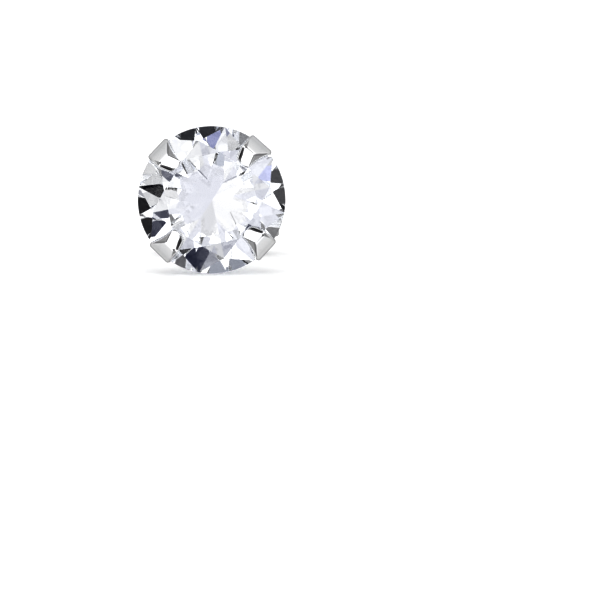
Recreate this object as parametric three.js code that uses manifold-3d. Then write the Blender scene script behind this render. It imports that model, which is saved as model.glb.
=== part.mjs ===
// A stud earring lying on a table: a round brilliant stone in a four claw silver setting, with an ear
// post soldered behind it and a butterfly back pushed onto the post. Lengths are in millimetres.
//
// Every piece is drawn in the stud's own frame: +Z runs along the post and out through the stone's face,
// +Y is up and +X is to the right for someone who looks at the face. The last group lays the stud down
// on its girdle and on the lower edge of the butterfly back, with its face to -Y.

import * as THREE from "three";
import { mergeVertices } from "three/addons/utils/BufferGeometryUtils.js";
import Module from "manifold-3d";

const wasm = await Module();
wasm.setup();

const degrees = THREE.MathUtils.degToRad;

// Driving sizes

const stone = {
  radius: 2.5,
  girdle: 0.17, // thickness where two half facets meet
  crownAngle: degrees(36),
  pavilionAngle: degrees(43.2),
  tableShare: 0.65, // table radius at its corners, over the stone's radius
  starShare: 0.53, // how far the star facets reach from the table to the girdle
  lowerHalfShare: 0.7, // how far the lower half facets reach from the girdle to the culet
  turn: degrees(-10.3), // of the first kite facet, from +X
  girdleSides: 96,
  folds: 8,
};

const seatGap = 0.03; // between the stone and the metal that holds it

const base = {
  radius: 1.05,
  front: -2.5, // z of the face under the culet
  thick: 0.4,
  chamfer: 0.05,
};

const post = {
  radius: 0.4,
  length: 10, // behind the base
  solderRadius: 0.58,
  solderHeight: 0.18,
  tipRadius: 0.24, // of the flat end
  tipLength: 0.2,
  sides: 32,
};

// The strap that each claw is bent from, followed from the base to the tip: r is the distance from the
// axis and z the height of the strap's outer face, and thick is measured inwards from there.
const strap = [
  { at: "under the culet", r: 0.3, z: -2.84, thick: 0.28 },
  { at: "base rim", r: 0.8, z: -2.82, thick: 0.28 },
  { at: "heel", r: 1.24, z: -2.56, thick: 0.3 },
  { at: "shank", r: 1.86, z: -1.58, thick: 0.32 },
  { at: "below girdle", r: 2.42, z: -0.62, thick: 0.36 },
  { at: "girdle", r: 2.6, z: -0.04, thick: 0.42 },
  { at: "flank", r: 2.47, z: 0.3, thick: 0.44 },
  { at: "below the bend", r: 2.2, z: 0.76, thick: 0.46 },
  { at: "bend", r: 2.1, z: 0.875, thick: 0.46 },
  { at: "past the bend", r: 2.0, z: 0.905, thick: 0.42 },
  { at: "tip", r: 1.5, z: 0.94, thick: 0.26 },
];
const strapSteps = 60;

// A claw's head seen from the front, with its tip to the left: half widths of its two sides by distance
// from the axis. The heads are filed by hand, so the two sides differ.
const claw = {
  turns: [48.2, 136.4, 225.6, 317.4].map(degrees), // of the bent claws, from +X
  width: 0.94,
  upperSide: [
    [2.3, 0.468],
    [2.07, 0.46],
    [1.8, 0.39],
  ],
  lowerSide: [
    [2.45, 0.468],
    [2.22, 0.375],
    [2.02, 0.305],
    [1.8, 0.265],
  ],
  tipUpper: 0.31,
  tipLower: 0.24,
  tipRound: 0.15,
  reach: 1.55, // of the tip, from the axis
};

// Flat cuts of the file on a head: a place on the cut and the way that the cut faces, with x out from the
// axis, y towards the upper side and z to the front
const headCuts = [
  { at: "lower edge", place: [1.6, -0.24, 0.925], faces: [0.29, -0.745, 0.601] },
  { at: "upper edge", place: [1.8, 0.19, 0.92], faces: [-0.235, 0.555, 0.798] },
];

const back = {
  front: -8.1, // z of the face that meets the ear
  sheet: 0.28,
  plateHalfWidth: 1.25,
  plateHalfHeight: 1.8,
  plateCorner: 0.4,
  wingHalfHeight: 1.1,
  curlCentre: 1.2, // x of both curls' middle
  curlRadius: 0.9, // outer turn, at the middle of the sheet
  innerRadius: 0.56, // last quarter turn, back to the post
  holeGap: 0.04,
  steps: 16, // in a half turn
};

// Solids from geometries and back

function solidOf(geometry) {
  const bare = new THREE.BufferGeometry();
  bare.setAttribute("position", geometry.getAttribute("position"));
  if (geometry.index) bare.setIndex(geometry.index);
  const merged = mergeVertices(bare, 1e-4);
  return new wasm.Manifold(
    new wasm.Mesh({
      numProp: 3,
      vertProperties: new Float32Array(merged.attributes.position.array),
      triVerts: new Uint32Array(merged.index.array),
    }),
  );
}

function geometryOf(solid) {
  const mesh = solid.getMesh();
  const indexed = new THREE.BufferGeometry();
  indexed.setAttribute("position", new THREE.BufferAttribute(mesh.vertProperties, 3));
  indexed.setIndex(new THREE.BufferAttribute(mesh.triVerts, 1));
  const flat = indexed.toNonIndexed();
  flat.computeVertexNormals();
  return flat;
}

// A shape in the XY plane, thickened from z = low to z = high
function slab(shape, low, high) {
  const geometry = new THREE.ExtrudeGeometry(shape, {
    depth: high - low,
    bevelEnabled: false,
    curveSegments: 8,
  });
  return geometry.translate(0, 0, low);
}

// A LatheGeometry turns about Y: its profile gives (radius, z), and the turned solid stands on Z
function turned(profile, sides) {
  const points = profile.map(([r, z]) => new THREE.Vector2(r, z));
  return new THREE.LatheGeometry(points, sides).rotateX(Math.PI / 2);
}

// Stone

function around(radius, angle, z) {
  return new THREE.Vector3(radius * Math.cos(angle), radius * Math.sin(angle), z);
}

// The corners of one eighth of the stone, whose kite facet is centred on the angle given
function stoneCorners(angle) {
  const half = Math.PI / stone.folds;
  const rim = stone.girdle / 2;
  const tableRadius = stone.tableShare * stone.radius;
  const tableEdge = tableRadius * Math.cos(half);
  const starRadius = tableEdge + stone.starShare * (stone.radius - tableEdge);
  const keelRadius = (1 - stone.lowerHalfShare) * stone.radius;
  const crownZ = (inward) => rim + inward * Math.tan(stone.crownAngle);
  const pavilionZ = (inward) => -rim - inward * Math.tan(stone.pavilionAngle);
  const tableZ = crownZ(stone.radius - tableRadius);
  const starZ = crownZ(stone.radius - starRadius * Math.cos(half));
  const keelZ = pavilionZ(stone.radius - keelRadius * Math.cos(half));
  return {
    table: around(tableRadius, angle, tableZ),
    nextTable: around(tableRadius, angle + 2 * half, tableZ),
    star: around(starRadius, angle + half, starZ),
    lastStar: around(starRadius, angle - half, starZ),
    upper: around(stone.radius, angle, rim),
    upperMiddle: around(stone.radius, angle + half, rim),
    nextUpper: around(stone.radius, angle + 2 * half, rim),
    lower: around(stone.radius, angle, -rim),
    lowerMiddle: around(stone.radius, angle + half, -rim),
    nextLower: around(stone.radius, angle + 2 * half, -rim),
    keel: around(keelRadius, angle + half, keelZ),
    lastKeel: around(keelRadius, angle - half, keelZ),
    culet: new THREE.Vector3(0, 0, pavilionZ(stone.radius)),
  };
}

// The planes of that eighth's facets, each through three corners and facing out
function facetPlanes(angle) {
  const at = stoneCorners(angle);
  const facets = {
    kite: [at.table, at.star, at.lastStar],
    star: [at.table, at.nextTable, at.star],
    upperHalf: [at.upper, at.upperMiddle, at.star],
    nextUpperHalf: [at.upperMiddle, at.nextUpper, at.star],
    main: [at.culet, at.keel, at.lastKeel],
    lowerHalf: [at.lower, at.lowerMiddle, at.keel],
    nextLowerHalf: [at.lowerMiddle, at.nextLower, at.keel],
  };
  return Object.values(facets).map((corners) => {
    const plane = new THREE.Plane().setFromCoplanarPoints(...corners);
    return plane.constant > 0 ? plane.negate() : plane;
  });
}

// The stone, cut facet by facet from a round blank, or a larger one whose every face is grow further out
function cutStone(grow) {
  const blankHeight = 4 * stone.radius;
  const blank = new THREE.CylinderGeometry(
    stone.radius + grow,
    stone.radius + grow,
    blankHeight,
    stone.girdleSides,
  );
  // One flat side of the blank faces down, where the stone touches the table
  blank.rotateX(Math.PI / 2).rotateZ(Math.PI / stone.girdleSides);
  const tableZ = stoneCorners(0).table.z;
  let solid = solidOf(blank).trimByPlane([0, 0, -1], -(tableZ + grow));
  for (let fold = 0; fold < stone.folds; fold += 1) {
    const angle = stone.turn + (fold * 2 * Math.PI) / stone.folds;
    for (const { normal, constant } of facetPlanes(angle)) {
      solid = solid.trimByPlane([-normal.x, -normal.y, -normal.z], constant - grow);
    }
  }
  return solid;
}

// Setting

// The strap's side outline, in (distance from the axis, z)
function strapOutline() {
  const face = new THREE.SplineCurve(strap.map(({ r, z }) => new THREE.Vector2(r, z)));
  const rows = strap.length - 1;
  const outer = [];
  const inner = [];
  for (let step = 0; step <= strapSteps; step += 1) {
    const t = step / strapSteps;
    const row = Math.min(Math.floor(t * rows), rows - 1);
    const thick = THREE.MathUtils.lerp(strap[row].thick, strap[row + 1].thick, t * rows - row);
    const point = face.getPoint(t);
    const along = face.getTangent(t);
    const inward = new THREE.Vector2(-along.y, along.x).multiplyScalar(thick);
    outer.push(point);
    inner.push(point.clone().add(inward));
  }
  return new THREE.Shape([...outer, ...inner.reverse()]);
}

// The claw's front outline, with its tip near the axis and its strap out along +X
function clawPlan() {
  const side = claw.width / 2;
  const { reach, tipRound, tipUpper, tipLower } = claw;
  const outside = stone.radius + 1;
  const plan = new THREE.Shape();
  plan.moveTo(outside, -side);
  plan.lineTo(outside, side);
  claw.upperSide.forEach(([r, half]) => plan.lineTo(r, half));
  plan.lineTo(reach + tipRound, tipUpper);
  plan.quadraticCurveTo(reach, tipUpper, reach, tipUpper - tipRound);
  plan.lineTo(reach, -tipLower + tipRound);
  plan.quadraticCurveTo(reach, -tipLower, reach + tipRound, -tipLower);
  claw.lowerSide.toReversed().forEach(([r, half]) => plan.lineTo(r, -half));
  return plan;
}

// The strap's own outline from the front, where nothing narrows it
function strapPlan() {
  const side = claw.width / 2;
  const outside = stone.radius + 1;
  const corners = [
    [0, -side],
    [outside, -side],
    [outside, side],
    [0, side],
  ];
  return new THREE.Shape(corners.map(([x, y]) => new THREE.Vector2(x, y)));
}

// One bent claw: the strap, kept to the claw's outline and filed in front of the girdle
function clawSolid(outline, turn) {
  const bent = slab(outline, -claw.width / 2, claw.width / 2).rotateX(Math.PI / 2);
  const front = slab(clawPlan(), 0, stone.radius);
  const behind = slab(strapPlan(), -2 * stone.radius, 0.01);
  const strapPiece = solidOf(bent);
  let head = strapPiece.intersect(solidOf(front));
  for (const { place, faces } of headCuts) {
    const away = new THREE.Vector3(...faces).normalize();
    const reach = away.dot(new THREE.Vector3(...place));
    head = head.trimByPlane([-away.x, -away.y, -away.z], -reach);
  }
  const whole = head.add(strapPiece.intersect(solidOf(behind)));
  return whole.rotate([0, 0, THREE.MathUtils.radToDeg(turn)]);
}

// The base disc, the fillet of solder and the ear post, turned as one
function baseAndPost() {
  const rear = base.front - base.thick;
  const end = rear - post.length;
  const filletRadius = THREE.MathUtils.lerp(post.radius, post.solderRadius, 0.3);
  const profile = [
    [0, end],
    [post.tipRadius, end],
    [0.9 * post.radius, end + 0.4 * post.tipLength],
    [post.radius, end + post.tipLength],
    [post.radius, rear - post.solderHeight],
    [filletRadius, rear - 0.4 * post.solderHeight],
    [post.solderRadius, rear],
    [base.radius - base.chamfer, rear],
    [base.radius, rear + base.chamfer],
    [base.radius, base.front - base.chamfer],
    [base.radius - base.chamfer, base.front],
    [0, base.front],
  ];
  return solidOf(turned(profile, post.sides));
}

function settingSolid() {
  const outline = strapOutline();
  let metal = baseAndPost();
  for (const turn of claw.turns) {
    metal = metal.add(clawSolid(outline, turn));
  }
  return metal.subtract(cutStone(seatGap));
}

// Butterfly back

// The middle line of the sheet from the post's hole out round one curl and back, in (x, depth)
function curlLine() {
  const { curlCentre, curlRadius, innerRadius, steps } = back;
  const points = [new THREE.Vector2(0, 0), new THREE.Vector2(curlCentre / 2, 0)];
  for (let step = 0; step <= steps; step += 1) {
    const angle = Math.PI / 2 - (Math.PI * step) / steps;
    const x = curlCentre + curlRadius * Math.cos(angle);
    points.push(new THREE.Vector2(x, curlRadius * (Math.sin(angle) - 1)));
  }
  for (let step = 1; step <= steps / 2; step += 1) {
    const angle = -Math.PI / 2 - (Math.PI * step) / steps;
    const x = curlCentre + innerRadius * Math.cos(angle);
    points.push(new THREE.Vector2(x, innerRadius * (Math.sin(angle) + 1) - 2 * curlRadius));
  }
  return points;
}

// One curl as a bent sheet; side is 1 for the right-hand one and -1 for the left-hand one
function curlSolid(side) {
  const line = curlLine();
  const outer = [];
  const inner = [];
  line.forEach((point, index) => {
    const before = line[Math.max(index - 1, 0)];
    const after = line[Math.min(index + 1, line.length - 1)];
    const along = after.clone().sub(before).normalize();
    const outward = new THREE.Vector2(-along.y, along.x).multiplyScalar(back.sheet / 2);
    outer.push(point.clone().add(outward));
    inner.push(point.clone().sub(outward));
  });
  const round = [...outer, ...inner.reverse()].map(({ x, y }) => new THREE.Vector2(side * x, y));
  const sheet = slab(new THREE.Shape(round), -back.wingHalfHeight, back.wingHalfHeight);
  // Turning it about X makes the shape's second axis the depth along Z
  sheet.rotateX(Math.PI / 2).translate(0, 0, back.front - back.sheet / 2);
  return solidOf(sheet);
}

function plateSolid() {
  const { plateHalfWidth: w, plateHalfHeight: h, plateCorner: c } = back;
  const plate = new THREE.Shape();
  plate.moveTo(-w + c, -h);
  plate.lineTo(w - c, -h);
  plate.absarc(w - c, -h + c, c, -Math.PI / 2, 0);
  plate.lineTo(w, h - c);
  plate.absarc(w - c, h - c, c, 0, Math.PI / 2);
  plate.lineTo(-w + c, h);
  plate.absarc(-w + c, h - c, c, Math.PI / 2, Math.PI);
  plate.lineTo(-w, -h + c);
  plate.absarc(-w + c, -h + c, c, Math.PI, 1.5 * Math.PI);
  return solidOf(slab(plate, back.front - back.sheet, back.front));
}

function backSolid() {
  const radius = post.radius + back.holeGap;
  const drill = new THREE.CylinderGeometry(radius, radius, 4 * back.sheet, post.sides);
  drill.rotateX(Math.PI / 2).translate(0, 0, back.front - back.sheet / 2);
  return plateSolid().add(curlSolid(1)).add(curlSolid(-1)).subtract(solidOf(drill));
}

// Assembly

const clearStone = new THREE.MeshStandardMaterial({
  color: 0xf4f6fa,
  roughness: 0.02,
  metalness: 0,
  transparent: true,
  opacity: 0.55,
});
const silver = new THREE.MeshStandardMaterial({ color: 0xdcdde0, roughness: 0.18, metalness: 1 });
const stampedSilver = new THREE.MeshStandardMaterial({
  color: 0xd4d5d9,
  roughness: 0.25,
  metalness: 1,
});

function piece(name, solid, material) {
  const mesh = new THREE.Mesh(geometryOf(solid), material);
  mesh.name = name;
  return mesh;
}

const stud = new THREE.Group();
stud.add(
  piece("stone", cutStone(0), clearStone),
  piece("claw_setting", settingSolid(), silver),
  piece("butterfly_back", backSolid(), stampedSilver),
);

// The stud lies on the girdle's lowest flat and on the rear lower edge of the back's plate, so its face
// looks up a little from the horizontal
const girdleDrop = stone.radius * Math.cos(Math.PI / stone.girdleSides);
const restRun = back.sheet - back.front;
const lean = Math.atan2(girdleDrop - back.plateHalfHeight, restRun);
stud.rotation.x = Math.PI / 2 - lean;

// The table's surface is z = 0, and the origin is under the middle of the stud
const earring = new THREE.Group();
earring.add(stud);
earring.updateMatrixWorld(true);
const box = new THREE.Box3().setFromObject(stud, true);
const middle = box.getCenter(new THREE.Vector3());
stud.position.set(-middle.x, -middle.y, -box.min.z);

export default earring;
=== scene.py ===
import math

import bpy
import numpy as np
from mathutils import Matrix, Vector


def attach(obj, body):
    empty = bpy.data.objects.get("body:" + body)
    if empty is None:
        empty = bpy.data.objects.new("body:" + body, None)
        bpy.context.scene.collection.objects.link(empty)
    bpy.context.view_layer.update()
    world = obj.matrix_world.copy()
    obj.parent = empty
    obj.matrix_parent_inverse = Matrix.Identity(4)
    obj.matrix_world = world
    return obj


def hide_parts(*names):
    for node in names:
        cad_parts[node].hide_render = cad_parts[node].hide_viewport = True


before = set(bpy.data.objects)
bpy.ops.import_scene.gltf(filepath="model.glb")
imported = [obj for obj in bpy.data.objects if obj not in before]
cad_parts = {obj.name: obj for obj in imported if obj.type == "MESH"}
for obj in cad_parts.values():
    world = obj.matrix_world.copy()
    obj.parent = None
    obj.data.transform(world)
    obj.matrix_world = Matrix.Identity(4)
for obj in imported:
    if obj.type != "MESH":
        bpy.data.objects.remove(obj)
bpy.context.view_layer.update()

MM = 0.001

# Sizes in millimetres, as the CAD has them

STONE_RADIUS = 2.5
STONE_GIRDLE = 0.17
CROWN_ANGLE = math.radians(36)
PAVILION_ANGLE = math.radians(43.2)
TABLE_SHARE = 0.65
STAR_SHARE = 0.53
LOWER_HALF_SHARE = 0.7
STONE_TURN = math.radians(-10.3)
STONE_FOLDS = 8
SEAT_GAP = 0.018

BASE_RADIUS = 1.05
BASE_FRONT = -2.5
BASE_THICK = 0.4
BASE_EDGE = 0.08
POST_RADIUS = 0.4
POST_LENGTH = 10.0
POST_TIP_ROUND = 0.18
SOLDER_BLEND = 0.16

CLAW_TURNS = [math.radians(turn) for turn in (48.2, 136.4, 225.6, 317.4)]
CLAW_REACH = 1.55
CLAW_TIP_ROUND = 0.16
# Outer face of the strap from the base to the tip: distance from the axis, height and thickness
STRAP = [
    (0.3, -2.84, 0.28),
    (0.8, -2.82, 0.28),
    (1.24, -2.56, 0.3),
    (1.86, -1.58, 0.32),
    (2.42, -0.62, 0.36),
    (2.585, -0.04, 0.42),
    (2.47, 0.3, 0.44),
    (2.2, 0.76, 0.46),
    (2.1, 0.875, 0.46),
    (2.0, 0.905, 0.42),
    (1.5, 0.94, 0.26),
]
# Half widths of a claw seen from the front, left and right of its middle, by distance from the axis
CLAW_LEFT = [(1.55, 0.31), (1.8, 0.4), (2.07, 0.485), (2.3, 0.48), (2.5, 0.468)]
CLAW_RIGHT = [(1.55, 0.24), (1.8, 0.265), (2.02, 0.305), (2.22, 0.375), (2.45, 0.468)]

BACK_FRONT = -8.1
SHEET = 0.28
PLATE_HALF_WIDTH = 1.25
PLATE_HALF_HEIGHT = 1.8
PLATE_CORNER = 0.4
WING_HALF_HEIGHT = 1.1
CURL_CENTRE = 1.2
CURL_RADIUS = 0.9
CURL_INNER_RADIUS = 0.56
HOLE_RADIUS = 0.44

# How the stud lies: its girdle and the lower rear edge of the back touch the table
GIRDLE_DROP = STONE_RADIUS * math.cos(math.pi / 96)
LEAN = math.atan2(GIRDLE_DROP - PLATE_HALF_HEIGHT, SHEET - BACK_FRONT)
STONE_CENTRE = Vector((0.0, -5.9188, 2.4934))
STUD = Matrix.Translation(STONE_CENTRE) @ Matrix.Rotation(math.pi / 2 - LEAN, 4, "X")
FACE_AXIS = (STUD.to_3x3() @ Vector((0, 0, 1))).normalized()
UP_AXIS = (STUD.to_3x3() @ Vector((0, 1, 0))).normalized()


# Meshes


def to_table(points):
    """Stud frame in millimetres to the row frame in metres."""
    turn = np.array(STUD.to_3x3())
    return (points @ turn.T + np.array(STUD.translation)) * MM


def mesh_object(name, points, faces, material):
    mesh = bpy.data.meshes.new(name)
    mesh.from_pydata(points.tolist(), [], faces.tolist())
    mesh.validate()
    mesh.materials.append(material)
    mesh.shade_smooth()
    made = bpy.data.objects.new(name, mesh)
    bpy.context.scene.collection.objects.link(made)
    return made


# Distances, for shapes given by a field that is negative inside the metal


def smooth_least(a, b, blend):
    share = np.clip(0.5 + 0.5 * (b - a) / blend, 0, 1)
    return b + (a - b) * share - blend * share * (1 - share)


def smooth_most(a, b, blend):
    return -smooth_least(-a, -b, blend)


def round_corner(a, b, radius):
    """The corner where two sides meet, rounded to a circle."""
    over_a = np.maximum(a + radius, 0)
    over_b = np.maximum(b + radius, 0)
    corner = np.hypot(over_a, over_b) - radius
    return np.where((a > -radius) & (b > -radius), corner, np.maximum(a, b))


def spline(rows, steps):
    """A smooth line through the rows, the same number of steps between each two."""
    rows = np.array(rows, float)
    padded = np.vstack([rows[:1], rows, rows[-1:]])
    share = np.linspace(0, 1, steps, endpoint=False)[:, None]
    line = []
    for before, start, end, after in zip(padded, padded[1:], padded[2:], padded[3:]):
        leave = (end - before) / 2
        arrive = (after - start) / 2
        line.append(
            (2 * (start - end) + leave + arrive) * share**3
            + (3 * (end - start) - 2 * leave - arrive) * share**2
            + leave * share
            + start
        )
    return np.vstack([*line, rows[-1:]])


STRAP_LINE = spline(STRAP, 10)


def along_line(line, across, height):
    """The nearest place on a line of (distance, height, value): how far outwards from it, and the value."""
    start, end = line[:-1], line[1:]
    best = np.full(across.shape, np.inf)
    outwards = np.zeros(across.shape)
    value = np.zeros(across.shape)
    for a, b in zip(start, end):
        run, rise = b[0] - a[0], b[1] - a[1]
        long = math.hypot(run, rise)
        part = np.clip(((across - a[0]) * run + (height - a[1]) * rise) / long**2, 0, 1)
        off_across = across - a[0] - part * run
        off_height = height - a[1] - part * rise
        far = off_across**2 + off_height**2
        near = far < best - 1e-12
        side = off_across * rise - off_height * run
        best = np.where(near, far, best)
        outwards = np.where(near, np.sign(side) * np.sqrt(far), outwards)
        value = np.where(near, a[2] + (b[2] - a[2]) * part, value)
    return outwards, value


# Stone's seat


def facet_planes():
    """Normals and distances of the stone's facets, all facing out."""
    half = math.pi / STONE_FOLDS
    rim = STONE_GIRDLE / 2
    table_radius = TABLE_SHARE * STONE_RADIUS
    table_edge = table_radius * math.cos(half)
    star_radius = table_edge + STAR_SHARE * (STONE_RADIUS - table_edge)
    keel_radius = (1 - LOWER_HALF_SHARE) * STONE_RADIUS

    def crown(inward):
        return rim + inward * math.tan(CROWN_ANGLE)

    def pavilion(inward):
        return -rim - inward * math.tan(PAVILION_ANGLE)

    def corner(radius, angle, height):
        return np.array([radius * math.cos(angle), radius * math.sin(angle), height])

    table_height = crown(STONE_RADIUS - table_radius)
    star_height = crown(STONE_RADIUS - star_radius * math.cos(half))
    keel_height = pavilion(STONE_RADIUS - keel_radius * math.cos(half))
    culet = np.array([0, 0, pavilion(STONE_RADIUS)])
    normals, distances = [np.array([0, 0, 1.0])], [table_height]
    for fold in range(STONE_FOLDS):
        angle = STONE_TURN + 2 * half * fold
        table = corner(table_radius, angle, table_height)
        next_table = corner(table_radius, angle + 2 * half, table_height)
        star = corner(star_radius, angle + half, star_height)
        last_star = corner(star_radius, angle - half, star_height)
        upper = [corner(STONE_RADIUS, angle + half * k, rim) for k in range(3)]
        lower = [corner(STONE_RADIUS, angle + half * k, -rim) for k in range(3)]
        keel = corner(keel_radius, angle + half, keel_height)
        last_keel = corner(keel_radius, angle - half, keel_height)
        for facet in (
            (table, star, last_star),
            (table, next_table, star),
            (upper[0], upper[1], star),
            (upper[1], upper[2], star),
            (culet, keel, last_keel),
            (lower[0], lower[1], keel),
            (lower[1], lower[2], keel),
        ):
            normal = np.cross(facet[1] - facet[0], facet[2] - facet[0])
            normal /= np.linalg.norm(normal)
            distance = float(normal @ facet[0])
            normals.append(normal * math.copysign(1, distance))
            distances.append(abs(distance))
    return np.array(normals), np.array(distances)


FACETS = facet_planes()


def stone_distance(points):
    normals, distances = FACETS
    far = np.hypot(points[:, 0], points[:, 1]) - STONE_RADIUS
    for normal, distance in zip(normals, distances):
        far = np.maximum(far, points @ normal - distance)
    return far


# Claw setting


def filed_slope(across, outwards, start, radius, tilt):
    """A filed face that falls away past a start line, rounded, and steeper than the tilt given."""
    centre = start - radius * math.sin(tilt)
    depth = radius * math.cos(tilt)
    face = np.hypot(across - centre, outwards + depth) - radius
    return np.where(across > centre, face, outwards)


def tilted_face(across, outwards, start, depth, tilt):
    """A flat face tilted away from the top, through a line at this place and depth."""
    return (outwards + depth) * math.cos(tilt) + (across - start) * math.sin(tilt)


def filed_head(along, aside, outwards, height):
    """The top of a claw: its left edge is filed in two steps, which run in a little towards the tip, and
    its right edge is one flat cut from the girdle's corner to the tip."""
    skew = math.radians(23)
    across = aside * math.cos(skew) - along * math.sin(skew)
    start = -0.545
    radius = 1.0
    wide = 0.155
    tilt = math.radians(30.5)
    slope = filed_slope(across, outwards, start, radius, tilt)
    end_sine = math.sin(tilt) + wide / radius
    end_depth = radius * (math.cos(tilt) - math.sqrt(1 - end_sine**2))
    step = tilted_face(across, outwards, start + wide, end_depth, math.radians(47))
    tip_corner = np.array([1.6, -0.24, 0.925])
    bend_corner = np.array([2.17, -0.125, 0.81])
    girdle_corner = np.array([2.5, -0.44, 0.25])
    normal = np.cross(girdle_corner - tip_corner, bend_corner - tip_corner)
    normal *= math.copysign(1, normal[2]) / np.linalg.norm(normal)
    facet = np.stack([along, aside, height], 1) @ normal - tip_corner @ normal
    file_round = 0.02
    filed = smooth_most(smooth_most(outwards, slope, file_round), step, file_round)
    return np.where(height > 0, smooth_most(filed, facet, 2 * file_round), outwards)


def claw_outline(along, aside, height):
    """A claw's two sides and its rounded tip, as seen from the front."""
    left, right = np.array(CLAW_LEFT), np.array(CLAW_RIGHT)
    left_side = np.where(height > 0, np.interp(along, left[:, 0], left[:, 1]), left[-1, 1])
    right_side = np.where(height > 0, np.interp(along, right[:, 0], right[:, 1]), right[-1, 1])
    side = smooth_most(aside - left_side, -aside - right_side, 0.02)
    tip = np.where(height > 0, CLAW_REACH - along, -1)
    return round_corner(side, tip, CLAW_TIP_ROUND)


def claw_distance(points, turn):
    along = points[:, 0] * math.cos(turn) + points[:, 1] * math.sin(turn)
    aside = -points[:, 0] * math.sin(turn) + points[:, 1] * math.cos(turn)
    height = points[:, 2]
    outwards, thick = along_line(STRAP_LINE, along, height)
    top = filed_head(along, aside, outwards, height)
    outline = claw_outline(along, aside, height)
    # The corner of head and sides is broken by a narrow chamfer, and worn round by the girdle
    chamfer_wide = 0.045
    chamfer_tilt = math.radians(58)
    chamfer = (outline + chamfer_wide) * math.sin(chamfer_tilt) + top * math.cos(chamfer_tilt)
    worn = np.interp(along, [2.0, 2.45], [0.05, 0.12])
    strap = smooth_most(smooth_most(top, outline, worn), chamfer, 0.03)
    # Past the tip and under the stone the line ends, and so does the strap
    inside = smooth_most(-outwards - thick, 0.25 - along, 0.05)
    return smooth_most(strap, inside, 0.05)


def base_distance(points):
    radius = np.hypot(points[:, 0], points[:, 1])
    depth = np.abs(points[:, 2] - (BASE_FRONT - BASE_THICK / 2)) - BASE_THICK / 2
    return round_corner(radius - BASE_RADIUS, depth, BASE_EDGE)


def post_distance(points):
    radius = np.hypot(points[:, 0], points[:, 1])
    rear = BASE_FRONT - BASE_THICK
    end = np.maximum(rear - POST_LENGTH - points[:, 2], points[:, 2] - (BASE_FRONT - 0.1))
    return round_corner(radius - POST_RADIUS, end, POST_TIP_ROUND)


def setting_distance(points):
    metal = smooth_least(base_distance(points), post_distance(points), SOLDER_BLEND)
    reach = 0.9
    for turn in CLAW_TURNS:
        along = points[:, 0] * math.cos(turn) + points[:, 1] * math.sin(turn)
        aside = np.abs(-points[:, 0] * math.sin(turn) + points[:, 1] * math.cos(turn))
        near = (along > -0.1) & (aside < reach) & (points[:, 2] > BASE_FRONT - BASE_THICK - 0.4)
        if near.any():
            metal[near] = smooth_least(metal[near], claw_distance(points[near], turn), 0.05)
    close = (metal < 0.2) & (points[:, 2] > BASE_FRONT)
    if close.any():
        metal[close] = smooth_most(metal[close], SEAT_GAP - stone_distance(points[close]), 0.05)
    return metal


def gradient(distance, points, step=0.002):
    slopes = []
    for axis in np.eye(3):
        slopes.append(distance(points + step * axis) - distance(points - step * axis))
    return np.stack(slopes, 1) / (2 * step)


CELL_CORNERS = [(i, j, k) for i in (0, 1) for j in (0, 1) for k in (0, 1)]


def grid_field(distance, axes):
    """The distance at every point of a grid."""
    field = np.empty([len(axis) for axis in axes])
    for k, z in enumerate(axes[2]):
        x, y = np.meshgrid(axes[0], axes[1], indexing="ij")
        flat = np.stack([x.ravel(), y.ravel(), np.full(x.size, z)], 1)
        field[:, :, k] = distance(flat).reshape(x.shape)
    return field


def drop_thin_metal(field, cell):
    """Metal that is one grid point thick can't be closed cleanly, so it goes."""
    for axis in range(3):
        inside = field < 0
        thin = inside & ~np.roll(inside, 1, axis) & ~np.roll(inside, -1, axis)
        field[thin] = 0.01 * cell


def cell_points(field):
    """Numbers for the cells that the surface crosses, and one point in each, as a place on the grid: the
    mean of the places where the surface cuts the cell's edges."""
    inside = field < 0
    window = tuple(count - 1 for count in field.shape)

    def at(array, corner):
        return array[tuple(slice(c, c + w) for c, w in zip(corner, window))]

    held = sum(at(inside, corner).astype(np.int8) for corner in CELL_CORNERS)
    crossed = (held > 0) & (held < len(CELL_CORNERS))
    number = np.full(window, -1)
    number[crossed] = np.arange(crossed.sum())
    place = np.argwhere(crossed)
    total = np.zeros((len(place), 3))
    hits = np.zeros(len(place))
    values = {corner: at(field, corner)[crossed] for corner in CELL_CORNERS}
    for a in CELL_CORNERS:
        for axis in range(3):
            if a[axis]:
                continue
            b = tuple(c + (n == axis) for n, c in enumerate(a))
            cut = (values[a] < 0) != (values[b] < 0)
            gap = np.where(cut, values[a] - values[b], 1)
            spot = np.tile(np.array(a, float), (len(place), 1))
            spot[:, axis] += np.where(cut, values[a] / gap, 0)
            total[cut] += spot[cut]
            hits[cut] += 1
    return number, place + total / hits[:, None]


def edge_quads(inside, number):
    """One quad round each grid edge that the surface crosses, between the points of its four cells."""
    window = number.shape
    quads = []
    for axis in range(3):
        one, two = (axis + 1) % 3, (axis + 2) % 3
        here = [slice(1, w) for w in window]
        here[axis] = slice(0, window[axis])
        ahead = list(here)
        ahead[axis] = slice(1, window[axis] + 1)
        first, second = inside[tuple(here)], inside[tuple(ahead)]
        for starts_inside in (True, False):
            edge = np.argwhere((first == starts_inside) & (second != starts_inside))
            edge += np.array([0 if k == axis else 1 for k in range(3)])
            ring = []
            for step_one, step_two in ((1, 1), (0, 1), (0, 0), (1, 0)):
                cell_at = edge.copy()
                cell_at[:, one] -= step_one
                cell_at[:, two] -= step_two
                ring.append(number[tuple(cell_at.T)])
            ring = ring if starts_inside else ring[::-1]
            quads.append(np.stack(ring, 1))
    return np.vstack(quads)


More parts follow.
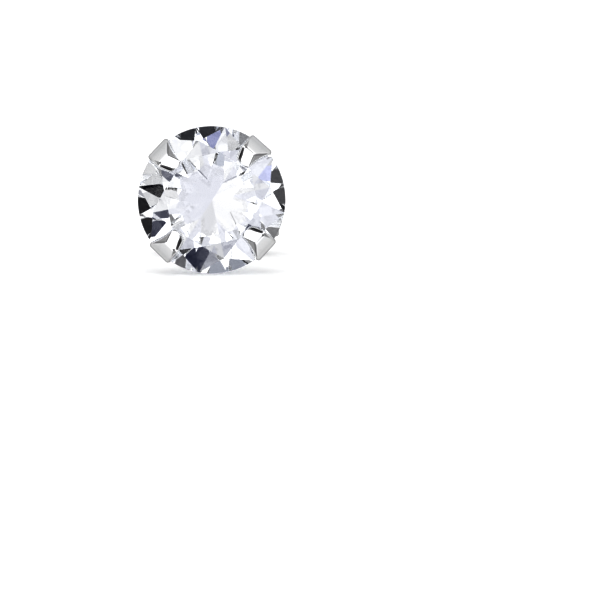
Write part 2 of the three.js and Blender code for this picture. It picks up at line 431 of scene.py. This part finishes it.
def settled(distance, points, cell, rounds=3):
    """The points moved onto the surface, by at most half a cell each time."""
    for _ in range(rounds):
        slope = gradient(distance, points)
        size = np.maximum((slope**2).sum(1), 0.25)
        move = -distance(points)[:, None] * slope / size[:, None]
        far = np.linalg.norm(move, axis=1, keepdims=True)
        points = points + move * np.minimum(1, 0.5 * cell / np.maximum(far, 1e-9))
    return points


def skin(distance, low, high, cell):
    """A closed quad mesh on the surface where the distance is zero."""
    counts = np.ceil((np.array(high) - np.array(low)) / cell).astype(int) + 1
    axes = [start + cell * np.arange(count) for start, count in zip(low, counts)]
    field = grid_field(distance, axes)
    drop_thin_metal(field, cell)
    number, places = cell_points(field)
    quads = edge_quads(field < 0, number)
    points = settled(distance, np.array(low) + cell * places, cell)
    return points, quads


def make_setting(material):
    cell = 0.038
    reach = STONE_RADIUS + 0.2
    rear = BASE_FRONT - BASE_THICK
    low = (-reach, -reach, rear - POST_LENGTH - 0.1)
    high = (reach, reach, 1.1)
    points, quads = skin(setting_distance, low, high, cell)
    return mesh_object("polished_claw_setting", to_table(points), quads, material)


# Node trees, written as expressions


class Wire:
    """An output socket that sums and products can be written with: each one adds its Math node."""

    def __init__(self, nodes, socket):
        self.nodes = nodes
        self.socket = socket

    def math(self, operation, *others):
        values = dict(enumerate([self, *others]))
        return self.nodes.add("ShaderNodeMath", {"operation": operation}, values)

    def __add__(self, other):
        return self.math("ADD", other)

    def __sub__(self, other):
        return self.math("SUBTRACT", other)

    def __mul__(self, other):
        return self.math("MULTIPLY", other)

    def __truediv__(self, other):
        return self.math("DIVIDE", other)

    def __rsub__(self, other):
        return (self * -1) + other

    __radd__ = __add__
    __rmul__ = __mul__

    def at_least(self, other):
        return self.math("MAXIMUM", other)

    def at_most(self, other):
        return self.math("MINIMUM", other)


class Nodes:
    """A node tree that is filled by one method, which makes a node of any kind."""

    def __init__(self, tree):
        self.tree = tree

    def add(self, kind, settings=None, values=None, out=0):
        node = self.tree.nodes.new(kind)
        for name, value in (settings or {}).items():
            setattr(node, name, value)
        for name, value in (values or {}).items():
            self.feed(node.inputs[name], value)
        return Wire(self, node.outputs[out]) if len(node.outputs) else node

    def feed(self, socket, value):
        if isinstance(value, Wire):
            self.tree.links.new(value.socket, socket)
        else:
            socket.default_value = value

    def mix(self, share, one, two, blend="MIX"):
        """One colour to another by a share from 0 to 1; the colours are a Mix node's sockets 6 and 7."""
        settings = {"data_type": "RGBA", "blend_type": blend}
        return self.add("ShaderNodeMix", settings, {0: share, 6: one, 7: two}, out=2)

    def ease(self, value, low, high):
        """0 at low and 1 at high, with a smooth rise between them."""
        settings = {"interpolation_type": "SMOOTHSTEP"}
        return self.add("ShaderNodeMapRange", settings, {0: value, 1: low, 2: high})


def grey(value, alpha=1.0):
    return (value, value, value, alpha)


# Finishes


def new_material(name):
    material = bpy.data.materials.new(name)
    material.use_nodes = True
    material.node_tree.nodes.clear()
    return material, Nodes(material.node_tree)


def finish_surface(nodes, values):
    """The one shader of a finish, joined to the material's output."""
    shader = nodes.add("ShaderNodeBsdfPrincipled", {}, values)
    nodes.add("ShaderNodeOutputMaterial", {}, {"Surface": shader})


def object_place(nodes):
    return nodes.add("ShaderNodeTexCoord", {}, {}, out=3)


def stretched(nodes, place, scale, turn=(0, 0, 0)):
    return nodes.add("ShaderNodeMapping", {}, {"Vector": place, "Scale": scale, "Rotation": turn})


def noise(nodes, place, scale, detail=2.0, roughness=0.5):
    values = {"Vector": place, "Scale": scale, "Detail": detail, "Roughness": roughness}
    return nodes.add("ShaderNodeTexNoise", {"normalize": True}, values)


def bump(nodes, height, strength, depth):
    values = {"Height": height, "Strength": strength, "Distance": depth}
    return nodes.add("ShaderNodeBump", {}, values)


def polished_silver():
    """Bright silver: a buffed mirror with a faint haze, buffing lines and a little colour of its own."""
    material, nodes = new_material("polished_silver")
    place = object_place(nodes)
    haze = noise(nodes, place, 900, detail=3)
    lines = noise(nodes, stretched(nodes, place, (9000, 2200, 30000), (0.5, 0.2, 0.8)), 1, detail=2)
    specks = noise(nodes, place, 26000, detail=2)
    tone = nodes.mix(nodes.ease(haze, 0.35, 0.65), (0.915, 0.92, 0.93, 1), (0.945, 0.945, 0.95, 1))
    roughness = 0.05 + 0.05 * nodes.ease(haze, 0.3, 0.7) + 0.04 * nodes.ease(lines, 0.55, 0.75)
    relief = 0.7 * lines + 0.3 * specks
    values = {
        "Base Color": tone,
        "Metallic": 1.0,
        "Roughness": roughness,
        "Normal": bump(nodes, relief, 0.05, 2e-6),
    }
    finish_surface(nodes, values)
    return material


def stamped_silver():
    """Thin sheet as it leaves the press: rolling lines along the strip and a soft shine."""
    material, nodes = new_material("stamped_silver")
    place = object_place(nodes)
    rolled = noise(nodes, stretched(nodes, place, (1500, 26000, 26000)), 1, detail=3)
    patches = noise(nodes, place, 1400, detail=2)
    pits = noise(nodes, place, 14000, detail=1)
    tone = nodes.mix(nodes.ease(patches, 0.3, 0.7), (0.83, 0.835, 0.85, 1), (0.9, 0.9, 0.905, 1))
    roughness = 0.16 + 0.14 * nodes.ease(rolled, 0.4, 0.7) + 0.08 * nodes.ease(patches, 0.4, 0.7)
    relief = 0.7 * rolled + 0.3 * nodes.ease(pits, 0.25, 0.4)
    values = {
        "Base Color": tone,
        "Metallic": 1.0,
        "Roughness": roughness,
        "Normal": bump(nodes, relief, 0.12, 3e-6),
    }
    finish_surface(nodes, values)
    return material


def clear_stone():
    """Clear brilliant: polished facets that let light through, and a ground, frosty girdle."""
    material, nodes = new_material("clear_stone")
    place = object_place(nodes)
    centre = [MM * value for value in STONE_CENTRE]
    moved = nodes.add("ShaderNodeVectorMath", {"operation": "SUBTRACT"}, {0: place, 1: centre})
    reach = nodes.add("ShaderNodeVectorMath", {"operation": "DOT_PRODUCT"}, {0: moved, 1: FACE_AXIS}, 1)
    along = nodes.add("ShaderNodeVectorMath", {"operation": "LENGTH"}, {0: moved}, 1)
    from_axis = (along * along - reach * reach).at_least(0).math("SQRT")
    girdle = nodes.ease(from_axis, 0.9965 * STONE_RADIUS * MM, 0.9985 * STONE_RADIUS * MM)
    ground = noise(nodes, place, 24000, detail=2)
    lines = noise(nodes, stretched(nodes, place, (3000, 30000, 16000), (0.3, 0.9, 0.4)), 1, detail=2)
    roughness = girdle * (0.2 + 0.3 * ground) + 0.003 * nodes.ease(lines, 0.6, 0.8)
    values = {
        "Base Color": (0.985, 0.99, 1.0, 1),
        "Metallic": 0.0,
        "Roughness": roughness,
        "IOR": 2.16,
        "Transmission Weight": 1.0,
        "Normal": bump(nodes, girdle * ground, 0.3, 4e-6),
    }
    finish_surface(nodes, values)
    return material


def pale_table():
    material, nodes = new_material("pale_table")
    place = object_place(nodes)
    grain = noise(nodes, place, 600, detail=4)
    tone = nodes.mix(grain, grey(0.93), grey(0.95))
    values = {
        "Base Color": tone,
        "Roughness": 0.6,
        "Specular IOR Level": 0.2,
        "Normal": bump(nodes, grain, 0.05, 1e-5),
    }
    finish_surface(nodes, values)
    return material


# Butterfly back


def tree_inputs(tree, sizes):
    """Named size inputs for a geometry tree, and the group input node's wires by name."""
    tree.interface.new_socket("Geometry", in_out="INPUT", socket_type="NodeSocketGeometry")
    for name in sizes:
        tree.interface.new_socket(name, in_out="INPUT", socket_type="NodeSocketFloat")
    tree.interface.new_socket("Geometry", in_out="OUTPUT", socket_type="NodeSocketGeometry")
    nodes = Nodes(tree)
    group = tree.nodes.new("NodeGroupInput")
    return nodes, {name: Wire(nodes, group.outputs[name]) for name in sizes}


def end_tree(nodes, geometry, material):
    real = nodes.add("GeometryNodeRealizeInstances", {}, {"Geometry": geometry})
    coated = nodes.add("GeometryNodeSetMaterial", {}, {"Geometry": real, "Material": material})
    nodes.add("NodeGroupOutput", {}, {0: coated})


def vector(nodes, x=0.0, y=0.0, z=0.0):
    return nodes.add("ShaderNodeCombineXYZ", {}, {0: x, 1: y, 2: z})


def plate_tree(material):
    """The front plate: a rounded oblong with the post's hole."""
    sizes = ["Sheet", "Front", "Half width", "Half height", "Corner", "Hole radius"]
    tree = bpy.data.node_groups.new("butterfly_plate", "GeometryNodeTree")
    nodes, size = tree_inputs(tree, sizes)
    oblong = nodes.add(
        "GeometryNodeCurvePrimitiveQuadrilateral",
        {},
        {"Width": 2 * size["Half width"], "Height": 2 * size["Half height"]},
    )
    outline = nodes.add(
        "GeometryNodeFilletCurve",
        {"mode": "POLY"},
        {"Curve": oblong, "Radius": size["Corner"], "Count": 10},
    )
    hole = nodes.add(
        "GeometryNodeCurvePrimitiveCircle", {}, {"Resolution": 48, "Radius": size["Hole radius"]}
    )
    both = nodes.add("GeometryNodeJoinGeometry", {}, {})
    for part in (outline, hole):
        nodes.tree.links.new(part.socket, both.socket.node.inputs[0])
    flat = nodes.add("GeometryNodeFillCurve", {}, {"Curve": both})
    thick = nodes.add(
        "GeometryNodeExtrudeMesh",
        {},
        {
            "Mesh": flat,
            "Offset": vector(nodes, z=-1.0),
            "Offset Scale": size["Sheet"],
            "Individual": False,
        },
    )
    back_face = nodes.add("GeometryNodeFlipFaces", {}, {"Mesh": flat})
    shell = nodes.add("GeometryNodeJoinGeometry", {}, {})
    for part in (thick, back_face):
        nodes.tree.links.new(part.socket, shell.socket.node.inputs[0])
    closed = nodes.add("GeometryNodeMergeByDistance", {}, {"Geometry": shell, "Distance": 0.0001})
    placed = nodes.add(
        "GeometryNodeTransform", {}, {"Geometry": closed, "Translation": vector(nodes, z=size["Front"])}
    )
    end_tree(nodes, placed, material)
    return tree


def wings_tree(material):
    """Both wings: the sheet leaves the plate, turns back in a wide curl and comes in towards the post."""
    sizes = ["Sheet", "Front", "Start", "Half height", "Curl centre", "Curl radius", "Inner radius"]
    tree = bpy.data.node_groups.new("butterfly_wings", "GeometryNodeTree")
    nodes, size = tree_inputs(tree, sizes)
    straight = size["Curl centre"] - size["Start"]
    turn_long = size["Curl radius"] * math.pi
    end_long = size["Inner radius"] * (math.pi / 2)
    strip = nodes.add("GeometryNodeCurvePrimitiveLine", {}, {"End": (1.0, 0.0, 0.0)})
    fine = nodes.add("GeometryNodeResampleCurve", {}, {"Curve": strip, "Count": 72})
    share = nodes.add("GeometryNodeSplineParameter", {}, {})
    gone = share * (straight + turn_long + end_long)
    turned = ((gone - straight) / size["Curl radius"]).at_least(0).at_most(math.pi)
    ended = ((gone - straight - turn_long) / size["Inner radius"]).at_least(0).at_most(math.pi / 2)
    across = (
        size["Start"]
        + gone.at_most(straight)
        + size["Curl radius"] * turned.math("SINE")
        - size["Inner radius"] * ended.math("SINE")
    )
    depth = (
        size["Curl radius"] * (turned.math("COSINE") - 1)
        + size["Inner radius"] * (1 - ended.math("COSINE"))
        + size["Front"]
        - size["Sheet"] * 0.5
    )
    path = nodes.add(
        "GeometryNodeSetPosition", {}, {"Geometry": fine, "Position": vector(nodes, across, 0.0, depth)}
    )
    section = nodes.add(
        "GeometryNodeCurvePrimitiveQuadrilateral",
        {},
        {"Width": 2 * size["Half height"], "Height": size["Sheet"] * 0.94},
    )
    edge = nodes.add(
        "GeometryNodeFilletCurve",
        {"mode": "POLY"},
        {"Curve": section, "Radius": size["Sheet"] * 0.3, "Count": 5},
    )
    swept = {"Curve": path, "Profile Curve": edge, "Fill Caps": True}
    wing = nodes.add("GeometryNodeCurveToMesh", {}, swept)
    turned_round = nodes.add(
        "GeometryNodeTransform", {}, {"Geometry": wing, "Rotation": (0.0, 0.0, math.pi)}
    )
    both = nodes.add("GeometryNodeJoinGeometry", {}, {})
    for part in (wing, turned_round):
        nodes.tree.links.new(part.socket, both.socket.node.inputs[0])
    end_tree(nodes, both, material)
    return tree


def grown(name, tree, sizes):
    """An object whose mesh comes from a geometry tree with these sizes."""
    made = bpy.data.objects.new(name, bpy.data.meshes.new(name))
    bpy.context.scene.collection.objects.link(made)
    modifier = made.modifiers.new("tree", "NODES")
    modifier.node_group = tree
    for item in tree.interface.items_tree:
        if item.item_type == "SOCKET" and item.in_out == "INPUT" and item.name in sizes:
            modifier[item.identifier] = float(sizes[item.name])
    return made


def plain_mesh(source, name):
    """The evaluated mesh of an object as an object of its own; the source is removed."""
    graph = bpy.context.evaluated_depsgraph_get()
    mesh = bpy.data.meshes.new_from_object(source.evaluated_get(graph))
    mesh.name = name
    bpy.data.objects.remove(source)
    made = bpy.data.objects.new(name, mesh)
    bpy.context.scene.collection.objects.link(made)
    return made


def make_back(material):
    plate = grown(
        "plate",
        plate_tree(material),
        {
            "Sheet": SHEET,
            "Front": BACK_FRONT,
            "Half width": PLATE_HALF_WIDTH,
            "Half height": PLATE_HALF_HEIGHT,
            "Corner": PLATE_CORNER,
            "Hole radius": HOLE_RADIUS,
        },
    )
    wings = grown(
        "wings",
        wings_tree(material),
        {
            "Sheet": SHEET,
            "Front": BACK_FRONT,
            "Start": HOLE_RADIUS + 0.25,
            "Half height": WING_HALF_HEIGHT,
            "Curl centre": CURL_CENTRE,
            "Curl radius": CURL_RADIUS,
            "Inner radius": CURL_INNER_RADIUS,
        },
    )
    bevel = plate.modifiers.new("edges", "BEVEL")
    bevel.width = 0.06
    bevel.segments = 3
    bevel.limit_method = "ANGLE"
    bevel.angle_limit = math.radians(40)
    wings = plain_mesh(wings, "wings")
    join = plate.modifiers.new("join", "BOOLEAN")
    join.operation = "UNION"
    join.solver = "EXACT"
    join.object = wings
    back = plain_mesh(plate, "stamped_butterfly_back")
    bpy.data.objects.remove(wings)
    back.data.transform(Matrix.Scale(MM, 4) @ STUD)
    back.data.materials.clear()
    back.data.materials.append(material)
    for face in back.data.polygons:
        face.material_index = 0
    back.data.shade_smooth()
    back.data.set_sharp_from_angle(angle=math.radians(35))
    return back


# Table, light and camera

# Light and dark parts of the studio, as the stud's face sees them: off is the angle from the face's axis,
# and azimuth goes anticlockwise from the right
BLACK = (0.012, 0.012, 0.018, 1)
INK = (0.02, 0.03, 0.1, 1)
SLATE = (0.07, 0.1, 0.18, 1)
BLUE = (0.1, 0.16, 0.75, 1)
METAL_TENT = {"front": 1.03, "behind": 0.42}
# Each claw has its own: three for the filed band beside its tip, a grey one for its other side, and two
# beyond it that draw dark lines on the post and the straps
CLAW_CARDS = [
    {"past claw": 108, "off": 71, "radius": 14, "soft": 3, "dark": 0.65, "tint": BLACK},
    {"past claw": 108, "off": 61, "radius": 5, "soft": 3, "dark": 0.9, "tint": BLACK},
    {"past claw": 108, "off": 77, "radius": 5, "soft": 3, "dark": 0.9, "tint": BLACK},
    {"past claw": -69, "off": 106, "radius": 9, "soft": 7, "dark": 0.45, "tint": BLACK},
    {"past claw": 45, "off": 60, "radius": 15, "soft": 10, "dark": 0.6, "tint": BLACK},
    {"past claw": 45, "off": 95, "radius": 15, "soft": 10, "dark": 0.6, "tint": BLACK},
]
STONE_TENT = 1.23
# Small black cards in a ring beside the stone give the black facets round its rim
RING_CARDS = [
    {"azimuth": 10, "off": 85, "radius": 15, "soft": 5, "dark": 1, "tint": BLACK},
    {"azimuth": 65, "off": 70, "radius": 15, "soft": 5, "dark": 1, "tint": BLACK},
    {"azimuth": 155, "off": 70, "radius": 15, "soft": 5, "dark": 1, "tint": BLACK},
    {"azimuth": 190, "off": 75, "radius": 20, "soft": 10, "dark": 0.8, "tint": BLACK},
    {"azimuth": 245, "off": 70, "radius": 10, "soft": 10, "dark": 1, "tint": BLACK},
    {"azimuth": 280, "off": 80, "radius": 15, "soft": 3, "dark": 1, "tint": BLACK},
    {"azimuth": 330, "off": 65, "radius": 10, "soft": 5, "dark": 1, "tint": BLACK},
]
# Cards near the lens give the grey left half of the table, the navy facets at the foot and two violet ones
LENS_CARDS = [
    {"azimuth": 25, "off": 30, "radius": 20, "soft": 10, "dark": 0.45, "tint": INK},
    {"azimuth": 145, "off": 35, "radius": 30, "soft": 3, "dark": 0.35, "tint": BLACK},
    {"azimuth": 175, "off": 25, "radius": 5, "soft": 2, "dark": 1, "tint": BLACK},
    {"azimuth": 260, "off": 40, "radius": 15, "soft": 2, "dark": 1, "tint": INK},
    {"azimuth": 275, "off": 40, "radius": 30, "soft": 3, "dark": 0.45, "tint": INK},
    {"azimuth": 55, "off": 40, "radius": 3, "soft": 3, "dark": 0.4, "tint": BLUE},
]
# Wide dim screens behind the stone, above and below, take the glare out of its edge
REAR_SCREENS = [
    {"azimuth": 95, "off": 110, "radius": 40, "soft": 5, "dark": 0.55, "tint": SLATE},
    {"azimuth": 280, "off": 110, "radius": 35, "soft": 5, "dark": 0.55, "tint": INK},
]
SOFT_LIGHT = 1.2
BACKDROP = 1.0
# Outputs of the Light Path node
CAMERA_RAY = 0
DIFFUSE_RAY = 2
SHARP_RAY = 4

EXPOSURE = 0.217
TONE_GAMMA = 0.5

# Where the stone's middle stands in a frame of 600 by 600 pixels, from its upper left corner
FRAME_PIXELS = 600
STONE_PIXEL = (211.7, 199.9)
PIXELS_PER_MM = 29.5


def make_table(material):
    """The table top, far larger than the view and curved up behind like a photographer's sweep."""
    half = 1.5
    front = -1.0
    rear = 1.6
    rise = 0.6
    steps = 12
    rows = [(front, 0.0)]
    for step in range(steps + 1):
        angle = math.pi / 2 * step / steps
        rows.append((rear + rise * math.sin(angle), rise * (1 - math.cos(angle))))
    points = [(x, y, z) for y, z in rows for x in (-half, half)]
    faces = [(2 * k, 2 * k + 1, 2 * k + 3, 2 * k + 2) for k in range(len(rows) - 1)]
    table = mesh_object("table", np.array(points), np.array(faces), material)
    table.visible_glossy = False
    table.visible_transmission = False
    return table


def towards_card(azimuth, off):
    """The direction at this angle from the face's axis, anticlockwise from the right."""
    flat = math.sin(math.radians(off))
    right = math.cos(math.radians(azimuth)) * Vector((1, 0, 0))
    up = math.sin(math.radians(azimuth)) * UP_AXIS
    return flat * (right + up) + math.cos(math.radians(off)) * FACE_AXIS


def hung_with(nodes, look, light, cards):
    """The light with cards in front of it, each a soft-edged disc that dims and tints it."""
    for card in cards:
        centre = towards_card(card["azimuth"], card["off"])
        angle = part_along(nodes, look, centre).at_most(1).at_least(-1).math("ARCCOSINE")
        inner = math.radians(card["radius"])
        outer = inner + math.radians(card["soft"])
        share = (1 - nodes.ease(angle, inner, outer)) * card["dark"]
        light = nodes.mix(share, light, card["tint"], "MULTIPLY")
    return light


def part_along(nodes, look, axis):
    return nodes.add("ShaderNodeVectorMath", {"operation": "DOT_PRODUCT"}, {0: look, 1: axis}, 1)


def claw_cards():
    """The claws' cards, with the same ones at each claw."""
    cards = []
    for turn in CLAW_TURNS:
        for card in CLAW_CARDS:
            azimuth = math.degrees(turn) + card["past claw"]
            cards.append({**card, "azimuth": azimuth})
    return cards


def studio_light():
    """A white tent with two layouts of cards: one for the metal, and one that the clear stone gathers."""
    world = bpy.data.worlds.new("studio")
    bpy.context.scene.world = world
    world.use_nodes = True
    world.node_tree.nodes.clear()
    nodes = Nodes(world.node_tree)
    look = nodes.add("ShaderNodeTexCoord", {}, {}, out=0)
    behind = part_along(nodes, look, FACE_AXIS).at_most(0)
    level = METAL_TENT["front"] + (METAL_TENT["front"] - METAL_TENT["behind"]) * behind
    tent = nodes.add("ShaderNodeCombineColor", {}, {0: level, 1: level, 2: level})
    metal_light = hung_with(nodes, look, tent, claw_cards())
    stone_cards = RING_CARDS + LENS_CARDS + REAR_SCREENS
    stone_light = hung_with(nodes, look, grey(STONE_TENT), stone_cards)
    seen = nodes.add("ShaderNodeLightPath", {}, {}, out=CAMERA_RAY)
    softly = nodes.add("ShaderNodeLightPath", {}, {}, out=DIFFUSE_RAY)
    sharply = nodes.add("ShaderNodeLightPath", {}, {}, out=SHARP_RAY)
    light = nodes.mix(sharply, metal_light, stone_light)
    light = nodes.mix(softly, light, grey(SOFT_LIGHT))
    light = nodes.mix(seen, light, grey(BACKDROP))
    sky = nodes.add("ShaderNodeBackground", {}, {"Color": light, "Strength": 1.0})
    nodes.add("ShaderNodeOutputWorld", {}, {"Surface": sky})


def aim_camera():
    """Along the stone's axis, and to its lower right, so that the stud has its place in the frame."""
    distance = 150.0
    sensor = 36.0
    left = (FRAME_PIXELS / 2 - STONE_PIXEL[0]) / PIXELS_PER_MM
    above = (FRAME_PIXELS / 2 - STONE_PIXEL[1]) / PIXELS_PER_MM
    camera = bpy.data.cameras.new("camera")
    camera.sensor_width = sensor
    camera.lens = PIXELS_PER_MM * sensor * distance / FRAME_PIXELS
    camera.clip_start = 0.005
    camera.clip_end = 20
    holder = bpy.data.objects.new("camera", camera)
    bpy.context.scene.collection.objects.link(holder)
    right = Vector((1, 0, 0))
    place = STONE_CENTRE + distance * FACE_AXIS
    place += left * right - above * UP_AXIS
    turn = Matrix((right, UP_AXIS, FACE_AXIS)).transposed().to_4x4()
    holder.matrix_world = Matrix.Translation(place * MM) @ turn
    bpy.context.scene.camera = holder


def set_look():
    scene = bpy.context.scene
    scene.view_settings.view_transform = "Standard"
    scene.view_settings.look = "None"
    scene.view_settings.exposure = EXPOSURE
    scene.view_settings.gamma = TONE_GAMMA
    scene.cycles.max_bounces = 32
    scene.cycles.glossy_bounces = 24
    scene.cycles.transmission_bounces = 32
    scene.cycles.blur_glossy = 0.0


aim_camera()
studio_light()
set_look()
make_table(pale_table())

silver = polished_silver()
setting = make_setting(silver)
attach(setting, "root")
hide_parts("claw_setting")

back = make_back(stamped_silver())
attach(back, "root")
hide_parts("butterfly_back")

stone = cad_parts["stone"]
stone.data.materials.clear()
stone.data.materials.append(clear_stone())
